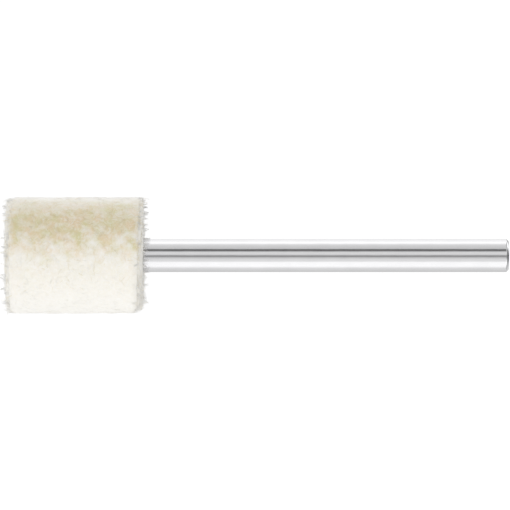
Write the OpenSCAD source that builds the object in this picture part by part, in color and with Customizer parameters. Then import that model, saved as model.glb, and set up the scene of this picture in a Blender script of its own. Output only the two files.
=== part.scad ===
// Mounted felt polishing bob: a cylinder of pressed wool felt bonded on a straight steel shank.
// The axis of the bob is X. The origin is on the axis, in the plane of the felt's rear face,
// where the free shank starts. The free shank points to +X and the working face to -X.

/* [Felt] */
// Outer diameter of the felt body
felt_d = 10.5; // [8:0.1:14]
// Length of the felt body, from its working face to its rear face
felt_len = 12.3; // [12:0.1:18]
// Radius of the soft rim around the working face
front_rim_r = 0.5; // [0.2:0.05:1.2]
// Radius of the soft rim around the rear face
rear_rim_r = 0.5; // [0.2:0.05:1.2]

/* [Shank] */
// Diameter of the ground shank that the collet grips
shank_d = 3; // [2.35:0.01:3.2]
// Length of the free shank behind the felt
shank_len = 32.9; // [25:0.1:45]
// Chamfer on the free end of the shank
end_chamfer = 0.2; // [0.05:0.01:0.4]

/* [Anchor] */
// Length of the shank's anchor inside the felt
anchor_len = 9.6; // [8:0.1:10]
// Depth by which the anchor is turned down from the shank's radius
anchor_step = 0.2; // [0.17:0.01:0.3]
// Number of retention grooves around the anchor
groove_count = 4; // [1:1:5]
// Width of one retention groove
groove_w = 0.6; // [0.3:0.05:0.8]
// Depth of one retention groove below the anchor
groove_depth = 0.2; // [0.1:0.05:0.3]
// Chamfer on the anchor's nose
nose_chamfer = 0.4; // [0.1:0.05:0.5]

/* [Bond] */
// Radial gap between the shank's radius and the bore, which the adhesive fills
bond_gap = 0.2; // [0.17:0.01:0.3]
// Length of the bore's mouth, where the felt springs back and closes on the shank
mouth_len = 0.6; // [0.3:0.1:1]
// Length of the adhesive plug ahead of the anchor's nose
plug_len = 0.4; // [0.1:0.05:0.6]
// Depth of the drill point at the bottom of the bore
drill_point = 0.9; // [0.4:0.1:1.2]

/* [Hidden] */
$fn = 96;
felt_r = felt_d / 2;
shank_r = shank_d / 2;
anchor_r = shank_r - anchor_step;
bore_r = shank_r + bond_gap;
bore_depth = anchor_len + plug_len;
// The ground surface of the shank runs this far into the bore before the anchor starts
lead_in = 0.1;
// The grooves share the anchor's cylindrical stretch evenly
groove_pitch = (anchor_len - lead_in - nose_chamfer) / (groove_count + 1);
// Extra length that carries a cutting shape past the surface that it cuts
cut_over = 1;

// Turns a profile, drawn with its radius along X and its length along Y, about the bob's axis
module turn() {
    rotate([0, 90, 0]) rotate_extrude() children();
}

// A disc or cylinder on the bob's axis, from x0 to x1
module bar(radius, x0, x1) {
    translate([x0, 0, 0]) rotate([0, 90, 0]) cylinder(r = radius, h = x1 - x0);
}

// A cone frustum on the bob's axis, with radius r0 at x0 and radius r1 at x1
module taper(r0, r1, x0, x1) {
    translate([x0, 0, 0]) rotate([0, 90, 0]) cylinder(r1 = r0, r2 = r1, h = x1 - x0);
}

// Half section of the felt block: a rectangle whose two outer corners are quarter circles
module felt_section() {
    union() {
        translate([0, -felt_len]) square([felt_r - front_rim_r, felt_len]);
        translate([0, front_rim_r - felt_len])
            square([felt_r, felt_len - front_rim_r - rear_rim_r]);
        translate([0, -rear_rim_r]) square([felt_r - rear_rim_r, rear_rim_r]);
        translate([felt_r - front_rim_r, front_rim_r - felt_len]) circle(front_rim_r);
        translate([felt_r - rear_rim_r, -rear_rim_r]) circle(rear_rim_r);
    }
}

// The room for the bond: the drilled bore with its drill point, closing on the shank at the mouth
module bond_room() {
    taper(0, bore_r, -bore_depth - drill_point, -bore_depth);
    bar(bore_r, -bore_depth, -mouth_len);
    taper(bore_r, shank_r, -mouth_len, -lead_in);
}

// Pressed wool felt block with its blind bore
module felt_body() {
    color("ivory") difference() {
        turn() felt_section();
        bond_room();
        bar(shank_r, -lead_in, cut_over);
    }
}

// Shank: ground pin with a chamfered free end, and a grooved anchor inside the felt
module shank() {
    color("silver") difference() {
        union() {
            bar(shank_r, -lead_in, shank_len - end_chamfer);
            taper(shank_r, shank_r - end_chamfer, shank_len - end_chamfer, shank_len);
            bar(anchor_r, nose_chamfer - anchor_len, -lead_in);
            taper(anchor_r - nose_chamfer, anchor_r, -anchor_len, nose_chamfer - anchor_len);
        }
        for (i = [1:groove_count]) groove(-lead_in - i * groove_pitch);
    }
}

// Ring that cuts one retention groove, centred at x
module groove(x) {
    difference() {
        bar(shank_r + cut_over, x - groove_w / 2, x + groove_w / 2);
        bar(anchor_r - groove_depth, x - groove_w, x + groove_w);
    }
}

// Cured adhesive: fills what the shank's anchor leaves of the bore
module adhesive() {
    color("goldenrod") difference() {
        bond_room();
        shank();
    }
}

felt_body();
adhesive();
shank();
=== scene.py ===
import math
import random

import bmesh
import bpy
from mathutils import Matrix, Vector, noise


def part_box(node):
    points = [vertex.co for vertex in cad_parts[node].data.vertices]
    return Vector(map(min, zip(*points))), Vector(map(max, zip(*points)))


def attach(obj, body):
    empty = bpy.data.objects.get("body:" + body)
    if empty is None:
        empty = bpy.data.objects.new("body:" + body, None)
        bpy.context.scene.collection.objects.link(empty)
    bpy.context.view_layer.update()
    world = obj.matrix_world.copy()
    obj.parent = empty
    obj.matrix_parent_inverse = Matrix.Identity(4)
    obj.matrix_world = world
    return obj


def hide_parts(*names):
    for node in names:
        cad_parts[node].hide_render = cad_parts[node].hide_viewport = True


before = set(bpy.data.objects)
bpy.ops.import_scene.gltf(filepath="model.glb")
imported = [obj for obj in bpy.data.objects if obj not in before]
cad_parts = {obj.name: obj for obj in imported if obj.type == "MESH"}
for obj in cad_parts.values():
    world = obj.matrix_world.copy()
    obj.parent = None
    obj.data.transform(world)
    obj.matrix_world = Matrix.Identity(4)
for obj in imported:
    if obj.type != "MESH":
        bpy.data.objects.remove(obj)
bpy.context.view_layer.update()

# ---------------------------------------------------------------------------------------------
# Felt block. The working part of the bob: one block of pressed wool felt, turned to a cylinder,
# with soft rims, a slightly crowned working face and a blind bore in its rear face. Its skin is
# uneven, because wool mats in lumps as it is milled.
MM = 0.001
felt_low, felt_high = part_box("felt_body")
bond_low, bond_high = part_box("adhesive")
pin_low, pin_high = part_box("shank")
felt_r = felt_high.z
bore_r = bond_high.z
pin_r = pin_high.z
front_x, rear_x = felt_low.x, felt_high.x
rim_r = 0.5 * MM
crown = 0.04 * MM
flat_r = felt_r - rim_r
grid = 0.1 * MM
face_rings = 48
felt_facets = 336
drill_point = 0.9 * MM
mouth_len = 0.6 * MM
# Width of the lip round the bore, where the rear face stays even
lip_w = 0.4 * MM
# Where the two tan streaks run along the side, and half their widths, in degrees up from the front
# The first streak, along the upper front, is painted shade where the light dips, over tan wool.
shade_streak_at, shade_streak_half = 33, 42
second_at, second_half = 205, 50


def line(start, end, step):
    """Points of a straight stretch of a turned outline, start included and end left out."""
    count = max(1, round((Vector(end) - Vector(start)).length / step))
    return [Vector(start).lerp(Vector(end), i / count) for i in range(count)]


def arc(centre, radius, start_deg, end_deg, step):
    """Points of a round stretch of a turned outline, start included and end left out."""
    count = max(2, round(abs(math.radians(end_deg - start_deg)) * radius / step))
    turns = [math.radians(start_deg + (end_deg - start_deg) * i / count) for i in range(count)]
    return [Vector(centre) + radius * Vector((math.cos(t), math.sin(t))) for t in turns]


def turn(points, segments):
    """A bmesh turned about the X axis from an outline of (x, radius) points."""
    bm = bmesh.new()
    verts = [bm.verts.new((x, 0, r)) for x, r in points]
    edges = [bm.edges.new(pair) for pair in zip(verts, verts[1:])]
    bmesh.ops.spin(bm, geom=verts + edges, cent=(0, 0, 0), axis=(1, 0, 0), dvec=(0, 0, 0),
                   angle=math.tau, steps=segments, use_merge=True, use_duplicate=False)
    bmesh.ops.remove_doubles(bm, verts=bm.verts, dist=0.0005 * MM)
    bmesh.ops.recalc_face_normals(bm, faces=bm.faces)
    return bm


def finish_piece(name, bm, material):
    """Makes the named piece from a bmesh, smooth shaded, riding with the bob."""
    mesh = bpy.data.meshes.new(name)
    bm.to_mesh(mesh)
    bm.free()
    mesh.materials.append(material)
    mesh.shade_smooth()
    piece = bpy.data.objects.new(name, mesh)
    bpy.context.scene.collection.objects.link(piece)
    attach(piece, "root")
    return piece


def swell(place):
    """How far the felt's skin stands out at a place on it: broad lumps, matted curls and pits."""
    lump = noise.noise(place / (2.3 * MM)) * 0.05 * MM
    curl = noise.noise(place / (0.62 * MM) + Vector((7, 3, 1))) * 0.022 * MM
    pit = noise.noise(place / (0.27 * MM) + Vector((2, 9, 5))) * 0.012 * MM
    return lump + curl + pit - 0.04 * MM


def worn(place):
    """How much the rims have rubbed away at a place: the rear one most along the underside."""
    radius = math.hypot(place.y, place.z)
    corner = 1.1 * MM
    near_rear = max(0, 1 - Vector((place.x - rear_x, radius - felt_r)).length / corner)
    near_front = max(0, 1 - Vector((place.x - front_x, radius - felt_r)).length / corner)
    under = 0.5 - 0.5 * place.z / max(radius, MM)
    return (near_rear ** 1.6 * (0.05 + under ** 2) * 0.8 + near_front ** 2 * 0.35) * MM


def tan_and_shade_share(place):
    """From 0 to 1, how much tan lies at a place: a long streak of painted shade over tan wool, and
    fainter tan patches.
    """
    height = math.degrees(math.atan2(place.z, -place.y))
    patch = noise.noise(place / (1.3 * MM) + Vector((4, 4, 8)))
    wisp = noise.noise(place / (0.45 * MM) + Vector((1, 6, 2)))
    thin = max(0, noise.noise(place / (0.7 * MM) + Vector((3, 8, 6))))
    drift = 26 * patch + 18 * wisp
    above = height - shade_streak_at + drift * max(0.3, 1.15 - abs(height - 20) / 45)
    # Painted shade: the front streak tints the upper front tan where the light dips.
    shade_streak = min(1, 1.1 - abs(above) / shade_streak_half) * (1 - 0.6 * thin)
    behind = (height + drift) % 360 - second_at
    second = 0.6 - abs(behind) / second_half
    faint = 0.16 - abs(height + 15) / 250
    radius = math.hypot(place.y, place.z)
    from_end = min(place.x - front_x, rear_x - place.x) + radius - felt_r
    fade = max(0.12, min(1, 0.25 + (from_end / MM + 0.3 * patch) / 1.1))
    return max(0, shade_streak * fade, second * fade, faint * fade, 0.65 * thin * (1 - fade))


front_face = [Vector((front_x - crown * (1 - (i / face_rings) ** 2), flat_r * i / face_rings))
              for i in range(face_rings)]
outline = (
    front_face
    + arc((front_x + rim_r, flat_r), rim_r, 180, 90, grid)
    + line((front_x + rim_r, felt_r), (rear_x - rim_r, felt_r), grid)
    + arc((rear_x - rim_r, flat_r), rim_r, 90, 0, grid)
    + line((rear_x, flat_r), (rear_x, pin_r), grid)
    + line((rear_x, pin_r), (bond_high.x, pin_r), grid)
    + line((bond_high.x, pin_r), (rear_x - mouth_len, bore_r), grid)
    + line((rear_x - mouth_len, bore_r), (bond_low.x + drill_point, bore_r), 10 * grid)
    + line((bond_low.x + drill_point, bore_r), (bond_low.x, 0), 2 * grid)
    + [Vector((bond_low.x, 0))]
)
felt_bm = turn(outline, felt_facets)
felt_bm.normal_update()
# This layer holds the wool's tan patches together with the painted shade of the front streak.
tan_and_shade_layer = felt_bm.verts.layers.float.new("tan_and_shade")
for vert in felt_bm.verts:
    radius = math.hypot(vert.co.y, vert.co.z)
    on_skin = vert.co.x < front_x + MM or radius > bore_r + lip_w
    if on_skin:
        vert[tan_and_shade_layer] = tan_and_shade_share(vert.co)
        vert.co += vert.normal * (swell(vert.co) - worn(vert.co))


def node_maker(material):
    """A short way to add a node and set its values and inputs."""
    tree = material.node_tree

    def add(kind, values=(), **settings):
        node = tree.nodes.new(kind)
        for key, value in settings.items():
            setattr(node, key, value)
        for key, value in dict(values).items():
            if isinstance(value, bpy.types.NodeSocket):
                tree.links.new(value, node.inputs[key])
            else:
                node.inputs[key].default_value = value
        return node

    return add


def new_material(name):
    """An empty node material with its output, and the helper that adds nodes to it."""
    material = bpy.data.materials.new(name)
    material.use_nodes = True
    material.node_tree.nodes.clear()
    add = node_maker(material)
    output = add("ShaderNodeOutputMaterial")
    place = add("ShaderNodeTexCoord").outputs["Object"]
    return material, add, output, place


def blend(add, share, first, second):
    """The colour socket of a mix from the first colour to the second."""
    node = add("ShaderNodeMix", data_type="RGBA")
    for number, value in ((0, share), (6, first), (7, second)):
        if isinstance(value, bpy.types.NodeSocket):
            node.id_data.links.new(value, node.inputs[number])
        else:
            node.inputs[number].default_value = (*value, 1)
    return node.outputs[2]


block_wool, add, output, place = new_material("block_wool")
curls = add("ShaderNodeTexNoise", {"Vector": place, "Scale": 1 / (0.45 * MM), "Detail": 6.0,
                                  "Roughness": 0.6, "Distortion": 2.0})
drifts = add("ShaderNodeTexNoise", {"Vector": place, "Scale": 1 / (1.2 * MM), "Detail": 2.0})
hairs = add("ShaderNodeTexNoise", {"Vector": place, "Scale": 1 / (0.1 * MM), "Detail": 3.0,
                                  "Distortion": 1.0})
spread = {"From Min": 0.35, "From Max": 0.65}
curl_share = add("ShaderNodeMapRange", {"Value": curls.outputs["Fac"], **spread}).outputs[0]
drift_share = add("ShaderNodeMapRange", {"Value": drifts.outputs["Fac"], **spread}).outputs[0]
cream = blend(add, curl_share, (0.93, 0.905, 0.84), (0.95, 0.935, 0.895))
tan_and_shade = blend(add, drift_share, (0.82, 0.685, 0.475), (0.73, 0.675, 0.405))
tan_and_shade_here = add("ShaderNodeAttribute", attribute_name="tan_and_shade").outputs["Fac"]
tan_weight = add("ShaderNodeMapRange", {"Value": curls.outputs["Fac"], **spread,
                                       "To Min": 1.3, "To Max": 0.6})
tan_and_shade_amount = add("ShaderNodeMath", {0: tan_and_shade_here, 1: tan_weight.outputs[0]}, operation="MULTIPLY",
                 use_clamp=True)
# Part of the tan mixed in here is painted shade, along the front streak.
coat = blend(add, tan_and_shade_amount.outputs[0], cream, tan_and_shade)
dull = add("ShaderNodeMapRange", {"Value": hairs.outputs["Fac"], "To Min": 0.98, "To Max": 0.8})
relief = add("ShaderNodeBump", {"Height": hairs.outputs["Fac"], "Strength": 0.35,
                               "Distance": 0.03 * MM})
shader = add("ShaderNodeBsdfPrincipled", {"Base Color": coat, "Roughness": dull.outputs[0],
                                         "Normal": relief.outputs[0], "IOR": 1.4,
                                         "Sheen Weight": 0.2, "Sheen Roughness": 0.5})
block_wool.node_tree.links.new(shader.outputs[0], output.inputs["Surface"])
felt_block = finish_piece("felt_block", felt_bm, block_wool)
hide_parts("felt_body")

# ---------------------------------------------------------------------------------------------
# Matted wool. The fibres that lie felted together on the round side: crimped, crossing in every
# direction and dipping in and out of the block. White, cream and tan wool are blended; the tan
# gathers in a streak along the upper front, which is painted shade over the wool's own tan.
axis = Vector((1, 0, 0))
fibre_steps = 5
rng = random.Random(41)


def grow_fibre(length, width, crimp, sag):
    """One wool fibre along +Z as a closed three-sided tube, crimped at random; sag bends it to -X."""
    bm = bmesh.new()
    bmesh.ops.create_circle(bm, cap_ends=True, segments=3, radius=width / 2)
    loop = list(bm.edges)
    place = Vector()
    heading = Matrix.Identity(3)
    for _ in range(fibre_steps):
        grown = bmesh.ops.extrude_edge_only(bm, edges=loop)["geom"]
        ring = [part for part in grown if isinstance(part, bmesh.types.BMVert)]
        loop = [part for part in grown if isinstance(part, bmesh.types.BMEdge)]
        bend = (Matrix.Rotation(rng.uniform(-crimp, crimp), 3, "X")
                @ Matrix.Rotation(rng.uniform(-crimp, crimp) * 0.4 - sag, 3, "Y"))
        heading = heading @ bend
        stride = heading @ Vector((0, 0, length / fibre_steps))
        bmesh.ops.rotate(bm, verts=ring, cent=place, matrix=bend)
        bmesh.ops.translate(bm, verts=ring, vec=stride)
        place += stride
        bmesh.ops.scale(bm, verts=ring, vec=(0.9, 0.9, 0.9), space=Matrix.Translation(-place))
    bmesh.ops.pointmerge(bm, verts=ring, merge_co=place)
    bmesh.ops.recalc_face_normals(bm, faces=bm.faces)
    mesh = bpy.data.meshes.new("fibre")
    bm.to_mesh(mesh)
    bm.free()
    return mesh


def grow_fibres(count, length, width, crimp, sag):
    """A set of fibres; the bounds of their lengths and widths are in millimetres."""
    return [grow_fibre(rng.uniform(*length) * MM, rng.uniform(*width) * MM, crimp, sag)
            for _ in range(count)]


def aim(place, heading, up):
    """The matrix that stands a fibre at a place, growing along heading, with its back to up."""
    z_axis = heading.normalized()
    y_axis = z_axis.cross(up).normalized()
    x_axis = y_axis.cross(z_axis)
    turned = Matrix((x_axis, y_axis, z_axis)).transposed().to_4x4()
    turned.translation = place
    return turned


def plant(name, fibres, stand, material):
    """Joins one copy of a fibre at each place of a stand of (matrix, fibre number) pairs."""
    bm = bmesh.new()
    for matrix, number in stand:
        copy = fibres[number].copy()
        copy.transform(matrix)
        bm.from_mesh(copy)
        bpy.data.meshes.remove(copy)
    return finish_piece(name, bm, material)


def outward_at(height):
    """The direction straight out of the side; height is in radians, 0 at the front, up positive."""
    return Vector((0, -math.cos(height), math.sin(height)))


def any_outward():
    """A random direction straight out of the side."""
    return outward_at(rng.uniform(-math.pi, math.pi))


def sink(place, outward, depth):
    """Moves a place on the plain block to the uneven skin, and in by a depth."""
    return place + outward * (swell(place) - worn(place) - depth)


def side_root(x, outward, depth):
    """Where a fibre is rooted on the round side."""
    return sink(Vector((x, 0, 0)) + outward * felt_r, outward, depth)


def lie(first, second, outward, from_rim, rise):
    """A random heading over the skin, between two directions; near a rim it keeps to the second."""
    spin = rng.uniform(0, math.tau)
    inside = 0.15 + 0.85 * min(1, from_rim / (0.9 * MM))
    flat = first * math.cos(spin) * inside + second * math.sin(spin)
    return flat + outward * rng.uniform(0.0, rise)


def loose_wool(name, pale, deep):
    """Loose wool of one tone, drifting between two shades along the fibres."""
    material, add, output, place = new_material(name)
    shade = add("ShaderNodeTexNoise", {"Vector": place, "Scale": 1 / (0.35 * MM), "Detail": 3.0})
    dull = add("ShaderNodeMapRange", {"Value": shade.outputs["Fac"], "To Min": 0.95,
                                     "To Max": 0.7})
    shader = add("ShaderNodeBsdfPrincipled", {
        "Base Color": blend(add, shade.outputs["Fac"], deep, pale),
        "Roughness": dull.outputs[0], "IOR": 1.4, "Sheen Weight": 0.2, "Sheen Roughness": 0.5})
    material.node_tree.links.new(shader.outputs[0], output.inputs["Surface"])
    return material


wools = {
    "white": loose_wool("white_wool", (0.985, 0.98, 0.96), (0.96, 0.95, 0.92)),
    "cream": loose_wool("cream_wool", (0.965, 0.955, 0.92), (0.94, 0.92, 0.86)),
    # Tan wool; in the front streak its tan is painted shade.
    "tan_and_shade": loose_wool("tan_and_shade_wool", (0.85, 0.755, 0.53), (0.70, 0.595, 0.375)),
    # Grey wool for the outer locks: painted shade that darkens the ragged rims.
    "lock_shade": loose_wool("lock_shade_wool", (0.88, 0.88, 0.86), (0.77, 0.77, 0.75)),
}


def tone_at(place):
    """Draws the tone of a fibre rooted at a place."""
    share = tan_and_shade_share(place)
    draw = rng.random()
    # Tan fibres also carry the painted shade of the front streak.
    if draw < 0.9 * share:
        return "tan_and_shade"
    return "cream" if draw < 0.5 + 0.5 * share else "white"


mat_fibres = grow_fibres(32, (0.6, 1.2), (0.016, 0.024), 0.4, 0.09)
mat_count = 12000
mat_margin = 0.1 * MM
lot_size = 6000
stands = {tone: [] for tone in wools}
for _ in range(mat_count):
    x = rng.uniform(front_x + mat_margin, rear_x - mat_margin)
    outward = any_outward()
    root = side_root(x, outward, rng.uniform(0.005, 0.035) * MM)
    heading = lie(axis, outward.cross(axis), outward, min(x - front_x, rear_x - x), 0.09)
    stands[tone_at(root)].append((aim(root, heading, outward), rng.randrange(len(mat_fibres))))
for tone, stand in stands.items():
    for lot in range(0, len(stand), lot_size):
        plant(f"matted_{tone}_{lot // lot_size + 1}", mat_fibres, stand[lot:lot + lot_size],
              wools[tone])

# ---------------------------------------------------------------------------------------------
# End nap. Both ends of the block are cut across, so the wool stands out of them as a short nap
# that thins out over the rims, between fibres that lie matted on the flat. Longer locks give the
# bob its ragged ends.
nap_fibres = grow_fibres(24, (0.1, 0.28), (0.02, 0.03), 0.35, 0.1)
lock_mm = 0.45
lock_fibres = grow_fibres(16, (0.9 * lock_mm, 1.05 * lock_mm), (0.03, 0.044), 0.2, 0.03)
fibres_per_lock = 5
rim_arc = rim_r * math.pi / 2


def end_place(end_x, side, reach, height):
    """A place on an end and its outward direction; reach is measured from the axis over the skin."""
    outward = outward_at(height)
    if reach < flat_r:
        rise = crown * (1 - (reach / flat_r) ** 2) if side < 0 else 0
        return Vector((end_x + side * rise, 0, 0)) + outward * reach, Vector((side, 0, 0))
    if reach > flat_r + rim_arc:
        back = end_x - side * (rim_r + reach - flat_r - rim_arc)
        return Vector((back, 0, 0)) + outward * felt_r, outward
    tilt = (reach - flat_r) / rim_r
    normal = Vector((side * math.cos(tilt), 0, 0)) + outward * math.sin(tilt)
    centre = Vector((end_x - side * rim_r, 0, 0)) + outward * flat_r
    return centre + normal * rim_r, normal


def any_place(end_x, side, inner_r):
    """A random place on an end: even over its flat and its rim, and thinning out past them."""
    reach = math.sqrt(rng.uniform(inner_r ** 2, (flat_r + rim_arc) ** 2))
    if reach > flat_r:
        reach += abs(rng.gauss(0, 0.2)) * MM
    root, normal = end_place(end_x, side, reach, rng.uniform(-math.pi, math.pi))
    return sink(root, normal, 0.04 * MM), normal


def nap_on_end(name, end_x, side, inner_r, count, tones):
    """Plants the nap of one end, in the given tones."""
    stands = {tone: [] for tone in tones}
    for _ in range(count):
        root, normal = any_place(end_x, side, inner_r)
        lean = Vector((rng.gauss(0, 1), rng.gauss(0, 1), rng.gauss(0, 1))) * 0.5
        stands[rng.choice(tones)].append((aim(root, normal + lean, lean.cross(normal)),
                                          rng.randrange(len(nap_fibres))))
    for tone, stand in stands.items():
        plant(f"{name}_nap_{tone}", nap_fibres, stand, wools[tone])


def locks_on_end(name, end_x, side, inner_r, count, reach, tone):
    """Plants locks on one end: each a handful of fibres that run together to a blunt tip."""
    stand = []
    for _ in range(count):
        root, normal = any_place(end_x, side, inner_r)
        lean = Vector((0, rng.gauss(0, 0.35), rng.gauss(0, 0.35)))
        tip = root + (Vector((side, 0, 0)) + lean + normal * 0.3) * reach * rng.uniform(0.7, 1.1)
        for _ in range(fibres_per_lock):
            foot = root + Vector((0, rng.gauss(0, 0.09), rng.gauss(0, 0.09))) * MM
            end = tip + Vector((0, rng.gauss(0, 0.035), rng.gauss(0, 0.035))) * MM
            stretch = Matrix.Diagonal((1, 1, (end - foot).length / (lock_mm * MM), 1))
            upright = aim(foot, end - foot, normal.cross(end - foot))
            stand.append((upright @ stretch, rng.randrange(len(lock_fibres))))
    plant(f"{name}_locks_{tone}", lock_fibres, stand, wools[tone])


def mat_on_end(name, end_x, side, inner_r, count):
    """Plants fibres that lie matted over the flat of one end."""
    stands = {tone: [] for tone in wools}
    for _ in range(count):
        reach = math.sqrt(rng.uniform((inner_r + 0.3 * MM) ** 2, flat_r ** 2))
        height = rng.uniform(-math.pi, math.pi)
        root, normal = end_place(end_x, side, reach, height)
        root = sink(root, normal, 0.02 * MM)
        outward = outward_at(height)
        heading = lie(outward, outward.cross(normal), normal, flat_r - reach, 0.15)
        stands[tone_at(root)].append((aim(root, heading, normal), rng.randrange(len(mat_fibres))))
    for tone, stand in stands.items():
        if stand:
            plant(f"{name}_mat_{tone}", mat_fibres, stand, wools[tone])


nap_count = 900
end_mat_count = 2000
outer_r = 0.7 * felt_r
nap_on_end("front", front_x, -1, 0, nap_count, ("white",))
nap_on_end("rear", rear_x, 1, pin_r, nap_count, ("white",))
mat_on_end("front", front_x, -1, 0, end_mat_count)
mat_on_end("rear", rear_x, 1, pin_r, end_mat_count)
locks_on_end("front", front_x, -1, 0, 40, 0.26 * MM, "white")
# The outer locks are grey as painted shade on the ragged rims.
locks_on_end("front", front_x, -1, outer_r, 34, 0.5 * MM, "lock_shade")
locks_on_end("rear", rear_x, 1, pin_r, 30, 0.26 * MM, "white")
locks_on_end("rear", rear_x, 1, outer_r, 44, 0.46 * MM, "lock_shade")

# ---------------------------------------------------------------------------------------------
# Rim fringe. The block frays where its ends are cut: pale fibres lie over both rims, slantwise,
# and stand off a little.
fringe_fibres = grow_fibres(24, (0.35, 0.65), (0.024, 0.034), 0.4, 0.08)
fringe_count = 140
for name, end_x, side in (("front", front_x, -1), ("rear", rear_x, 1)):
    stand = []
    for _ in range(fringe_count):
        outward = any_outward()
        inset = 0.1 + abs(rng.gauss(0, 0.45))
        root = side_root(end_x - side * inset * MM, outward, 0.02 * MM)
        across = outward.cross(axis) * rng.gauss(0, 0.7)
        heading = axis * side + across + outward * rng.uniform(0, 0.2)
        stand.append((aim(root, heading, outward), rng.randrange(len(fringe_fibres))))
    plant(f"{name}_fringe", fringe_fibres, stand, wools["white"])

# ---------------------------------------------------------------------------------------------
# Side nap. A thin fuzz stands off the round side, too short to show except along the outline.
side_nap_count = 2500
stand = []
for _ in range(side_nap_count):
    x = rng.uniform(front_x, rear_x)
    outward = any_outward()
    root = side_root(x, outward, 0.05 * MM)
    lean = Vector((rng.gauss(0, 1), rng.gauss(0, 1), rng.gauss(0, 1)))
    stand.append((aim(root, outward * 0.5 + lean, outward), rng.randrange(len(nap_fibres))))
plant("side_nap", nap_fibres, stand, wools["white"])

# ---------------------------------------------------------------------------------------------
# Mouth fuzz. Where the shank enters the felt, loose wool from the bore's lip is pushed out and
# lies along the steel.
lip_fibres = grow_fibres(16, (0.4, 0.6), (0.016, 0.024), 0.3, 0.02)
# Painted light: this wool is whiter than the white wool, so the fibres shaded against the steel read
# as lit.
brightened_lip_wool = loose_wool("brightened_lip_wool", (0.997, 0.995, 0.985), (0.99, 0.985, 0.97))
lip_count = 110
stand = []
for _ in range(lip_count):
    outward = any_outward()
    root = Vector((rng.uniform(-0.1, 0.3) * MM, 0, 0))
    root += outward * (pin_r + rng.uniform(0.015, 0.05) * MM)
    across = outward.cross(axis) * rng.gauss(0, 0.9)
    heading = axis + outward * rng.uniform(0, 0.12) + across
    stand.append((aim(root, heading, outward), rng.randrange(len(lip_fibres))))
plant("mouth_fuzz", lip_fibres, stand, brightened_lip_wool)

# ---------------------------------------------------------------------------------------------
# Shank. A straight steel pin, centreless ground and polished, with a chamfered free end. Inside
# the felt it is turned down and grooved so that the adhesive keys to it.
end_chamfer = 0.2 * MM
edge_r = 0.03 * MM
anchor_r = pin_r - 0.2 * MM
groove_r = anchor_r - 0.2 * MM
groove_w = 0.6 * MM
nose_chamfer = 0.4 * MM
lead_in = 0.1 * MM
groove_count = 4
pin_facets = 256
# Narrow rings beside the edges, which keep the shading of the long stretches flat
side_guard = 0.06 * MM
cap_guard = 0.08 * MM
groove_pitch = (rear_x - lead_in - pin_low.x - nose_chamfer) / (groove_count + 1)
outline = [(pin_low.x, 0), (pin_low.x, anchor_r - nose_chamfer), (pin_low.x + nose_chamfer, anchor_r)]
for i in range(groove_count, 0, -1):
    middle = rear_x - lead_in - i * groove_pitch
    outline += [(middle - groove_w / 2, anchor_r), (middle - groove_w / 2, groove_r),
                (middle + groove_w / 2, groove_r), (middle + groove_w / 2, anchor_r)]
outline += [(rear_x - lead_in, anchor_r), (rear_x - lead_in, pin_r)]
straight_end = pin_high.x - end_chamfer
cap_r = pin_r - end_chamfer
outline += line((rear_x - lead_in + side_guard, pin_r), (straight_end - side_guard, pin_r), MM)
outline += [(straight_end - side_guard, pin_r), (straight_end, pin_r)]
outline += [(pin_high.x, cap_r), (pin_high.x, cap_r - cap_guard), (pin_high.x, 0)]
pin_bm = turn(outline, pin_facets)
sharp = [edge for edge in pin_bm.edges
         if len(edge.link_faces) == 2 and edge.calc_face_angle(0) > math.radians(25)]
bmesh.ops.bevel(pin_bm, geom=sharp, offset=edge_r, offset_type="OFFSET", affect="EDGES",
                segments=2, profile=0.5, material=-1, clamp_overlap=True)

steel, add, output, place = new_material("ground_steel")
squeezed = add("ShaderNodeMapping", {"Vector": place, "Scale": (1.0, 0.04, 0.04)})
lines = add("ShaderNodeTexNoise", {"Vector": squeezed.outputs[0], "Scale": 1 / (0.02 * MM),
                                  "Detail": 3.0})
waves = add("ShaderNodeTexNoise", {"Vector": place, "Scale": 1 / (1.6 * MM), "Detail": 2.0})
polish = add("ShaderNodeMapRange", {"Value": lines.outputs["Fac"], "To Min": 0.07, "To Max": 0.15})
along = add("ShaderNodeSeparateXYZ", {"Vector": place})
cut_end = add("ShaderNodeMapRange", {"Value": along.outputs["X"], "From Min": pin_high.x - 0.01 * MM,
                                    "From Max": pin_high.x, "To Max": 0.3})
finish = add("ShaderNodeMath", {0: polish.outputs[0], 1: cut_end.outputs[0]}, operation="ADD")
rings = add("ShaderNodeTexWave", {"Vector": place, "Scale": 1 / (0.9 * MM), "Distortion": 0.5},
            wave_type="RINGS", rings_direction="X")
turned = add("ShaderNodeBump", {"Height": rings.outputs["Fac"], "Strength": 0.5,
                               "Distance": 0.01 * MM})
relief = add("ShaderNodeBump", {"Height": lines.outputs["Fac"], "Strength": 0.08,
                               "Distance": 0.001 * MM, "Normal": turned.outputs[0]})
sway = add("ShaderNodeBump", {"Height": waves.outputs["Fac"], "Strength": 0.5,
                             "Distance": 0.022 * MM, "Normal": relief.outputs[0]})
tint = blend(add, waves.outputs["Fac"], (0.57, 0.568, 0.576), (0.62, 0.618, 0.626))
shader = add("ShaderNodeBsdfPrincipled", {"Metallic": 1.0, "Roughness": finish.outputs[0],
                                         "Base Color": tint, "Normal": sway.outputs[0]})
steel.node_tree.links.new(shader.outputs[0], output.inputs["Surface"])
pin = finish_piece("shank_pin", pin_bm, steel)
pin.data.set_sharp_from_angle(angle=math.radians(30))
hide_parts("shank")

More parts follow.
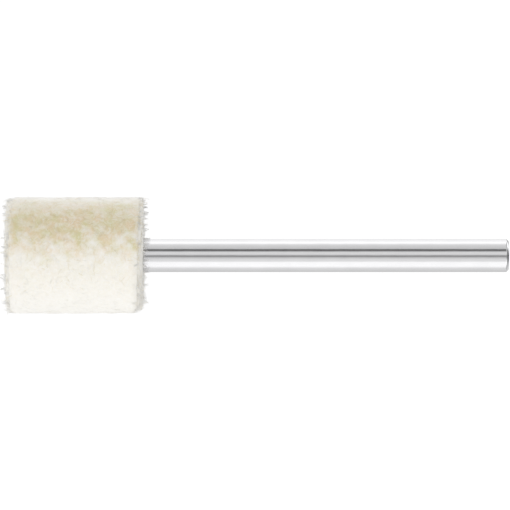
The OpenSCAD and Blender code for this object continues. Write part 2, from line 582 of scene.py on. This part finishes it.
# ---------------------------------------------------------------------------------------------
# Adhesive. Cured amber resin that fills the bore round the anchor. It is sealed in the felt.
resin, add, output, place = new_material("cured_resin")
cloud = add("ShaderNodeTexNoise", {"Vector": place, "Scale": 1 / (0.8 * MM), "Detail": 3.0})
tint = blend(add, cloud.outputs["Fac"], (0.55, 0.40, 0.18), (0.74, 0.62, 0.38))
gloss = add("ShaderNodeMapRange", {"Value": cloud.outputs["Fac"], "To Min": 0.2, "To Max": 0.4})
shader = add("ShaderNodeBsdfPrincipled", {"Roughness": gloss.outputs[0], "Base Color": tint})
resin.node_tree.links.new(shader.outputs[0], output.inputs["Surface"])
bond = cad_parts["adhesive"]
bond.data.materials.clear()
bond.data.materials.append(resin)

# ---------------------------------------------------------------------------------------------
# Studio. The bob is held level over a lit white table. Long soft panels run parallel to it: a
# strong one in front and below, one above and behind, with dark gaps between them.
scene = bpy.context.scene
scene.view_settings.view_transform = "Standard"

table_drop = 32 * MM
table_half = 1.5
table_bm = bmesh.new()
bmesh.ops.create_grid(table_bm, x_segments=1, y_segments=1, size=table_half)
bmesh.ops.translate(table_bm, verts=table_bm.verts, vec=(0, 0, -table_drop))
table_mesh = bpy.data.meshes.new("table")
table_bm.to_mesh(table_mesh)
table_bm.free()
opal, add, output, place = new_material("opal_table")
shader = add("ShaderNodeBsdfPrincipled", {"Base Color": (0.9, 0.9, 0.9, 1), "Roughness": 0.9,
                                         "Emission Color": (1, 1, 1, 1), "Emission Strength": 0.5})
opal.node_tree.links.new(shader.outputs[0], output.inputs["Surface"])
table_mesh.materials.append(opal)
table = bpy.data.objects.new("table", table_mesh)
scene.collection.objects.link(table)
table.visible_glossy = False
table.visible_diffuse = False
table.visible_shadow = False

# Brightness of the light by direction round the bob: 0 is in front, 90 above, -90 below. The
# middle list is the light straight across the bob, which the steel mirrors. The side list is the
# light from further along its axis at either hand. The middle list's numbers came out of another
# program's least-squares fit and were rounded. The side list's began as such a fit too, and some
# of them were then changed.
middle_light = [
    (-180, 0.90), (-150, 0.80), (-120, 1.05), (-100, 1.15), (-88, 1.45), (-80, 1.65), (-48, 1.60),
    (-40, 1.20), (-25, 1.15), (-14, 0.82), (-8, 0.60), (-4, 0.20), (0, 0.60), (4, 1.00),
    (20, 1.18), (26, 0.84), (31, 0.42), (35, 0.18), (40, 0.12), (44, 0.42), (48, 0.90),
    (75, 1.08), (88, 1.36), (98, 1.85), (110, 1.60), (142, 1.30), (180, 0.90),
]
side_light = [
    (-180, 0.60), (-150, 1.00), (-120, 0.70), (-95, 0.42), (-80, 0.70), (-66, 1.74), (-42, 1.74),
    (-26, 0.70), (-12, 0.30), (0, 0.55), (15, 1.05), (36, 1.05), (60, 0.90), (84, 0.40),
    (103, 0.32), (118, 1.80), (138, 1.70), (156, 0.45), (180, 0.60),
]
brightest = 2.5
world = bpy.data.worlds.new("studio")
world.use_nodes = True
world.node_tree.nodes.clear()
scene.world = world
add = node_maker(world)
direction = add("ShaderNodeSeparateXYZ",
                {"Vector": add("ShaderNodeTexCoord").outputs["Generated"]})
toward = add("ShaderNodeMath", {0: direction.outputs["Y"], 1: -1.0}, operation="MULTIPLY")
height = add("ShaderNodeMath", {0: direction.outputs["Z"], 1: toward.outputs[0]},
             operation="ARCTAN2")
share = add("ShaderNodeMapRange", {"Value": height.outputs[0], "From Min": -math.pi,
                                  "From Max": math.pi})


def panels(stops):
    """A colour ramp round the bob with the given (direction, brightness) stops."""
    node = add("ShaderNodeValToRGB", {"Fac": share.outputs[0]})
    ramp = node.color_ramp
    ramp.elements.remove(ramp.elements[1])
    ramp.elements[0].position = 0
    for angle, _ in stops[1:]:
        ramp.elements.new((angle + 180) / 360)
    for element, (_, level) in zip(ramp.elements, stops):
        tone = level / brightest
        element.color = (tone, tone, tone, 1)
    return node.outputs["Color"]


endways = add("ShaderNodeMath", {0: direction.outputs["X"]}, operation="ABSOLUTE")
aside = add("ShaderNodeMapRange", {"Value": endways.outputs[0], "From Min": 0.1, "From Max": 0.2})
middle = add("ShaderNodeBackground", {"Color": panels(middle_light), "Strength": brightest})
fade = add("ShaderNodeMapRange", {"Value": direction.outputs["X"], "From Min": 0.85,
                                 "To Min": brightest, "To Max": 0.25 * brightest})
sides = add("ShaderNodeBackground", {"Color": panels(side_light), "Strength": fade.outputs[0]})
lights = add("ShaderNodeMixShader", {0: aside.outputs[0], 1: middle.outputs[0],
                                    2: sides.outputs[0]})
backdrop = add("ShaderNodeBackground", {"Color": (1, 1, 1, 1), "Strength": 1.05})
seen = add("ShaderNodeLightPath").outputs["Is Camera Ray"]
both = add("ShaderNodeMixShader", {0: seen, 1: lights.outputs[0], 2: backdrop.outputs[0]})
add("ShaderNodeOutputWorld", {"Surface": both.outputs[0]})

# Camera: level with the bob and square to its side, a long lens from well back.
lens = bpy.data.cameras.new("camera")
camera = bpy.data.objects.new("camera", lens)
scene.collection.objects.link(camera)
scene.camera = camera
distance = 0.42
view_width = 45.95 * MM
lens.sensor_width = 36
lens.lens = lens.sensor_width * distance / view_width
lens.clip_start = 0.01
lens.clip_end = 20
camera.location = (10.07 * MM, -distance, 0.045 * MM)
camera.rotation_euler = (math.pi / 2, 0, 0)

bpy.context.view_layer.update()
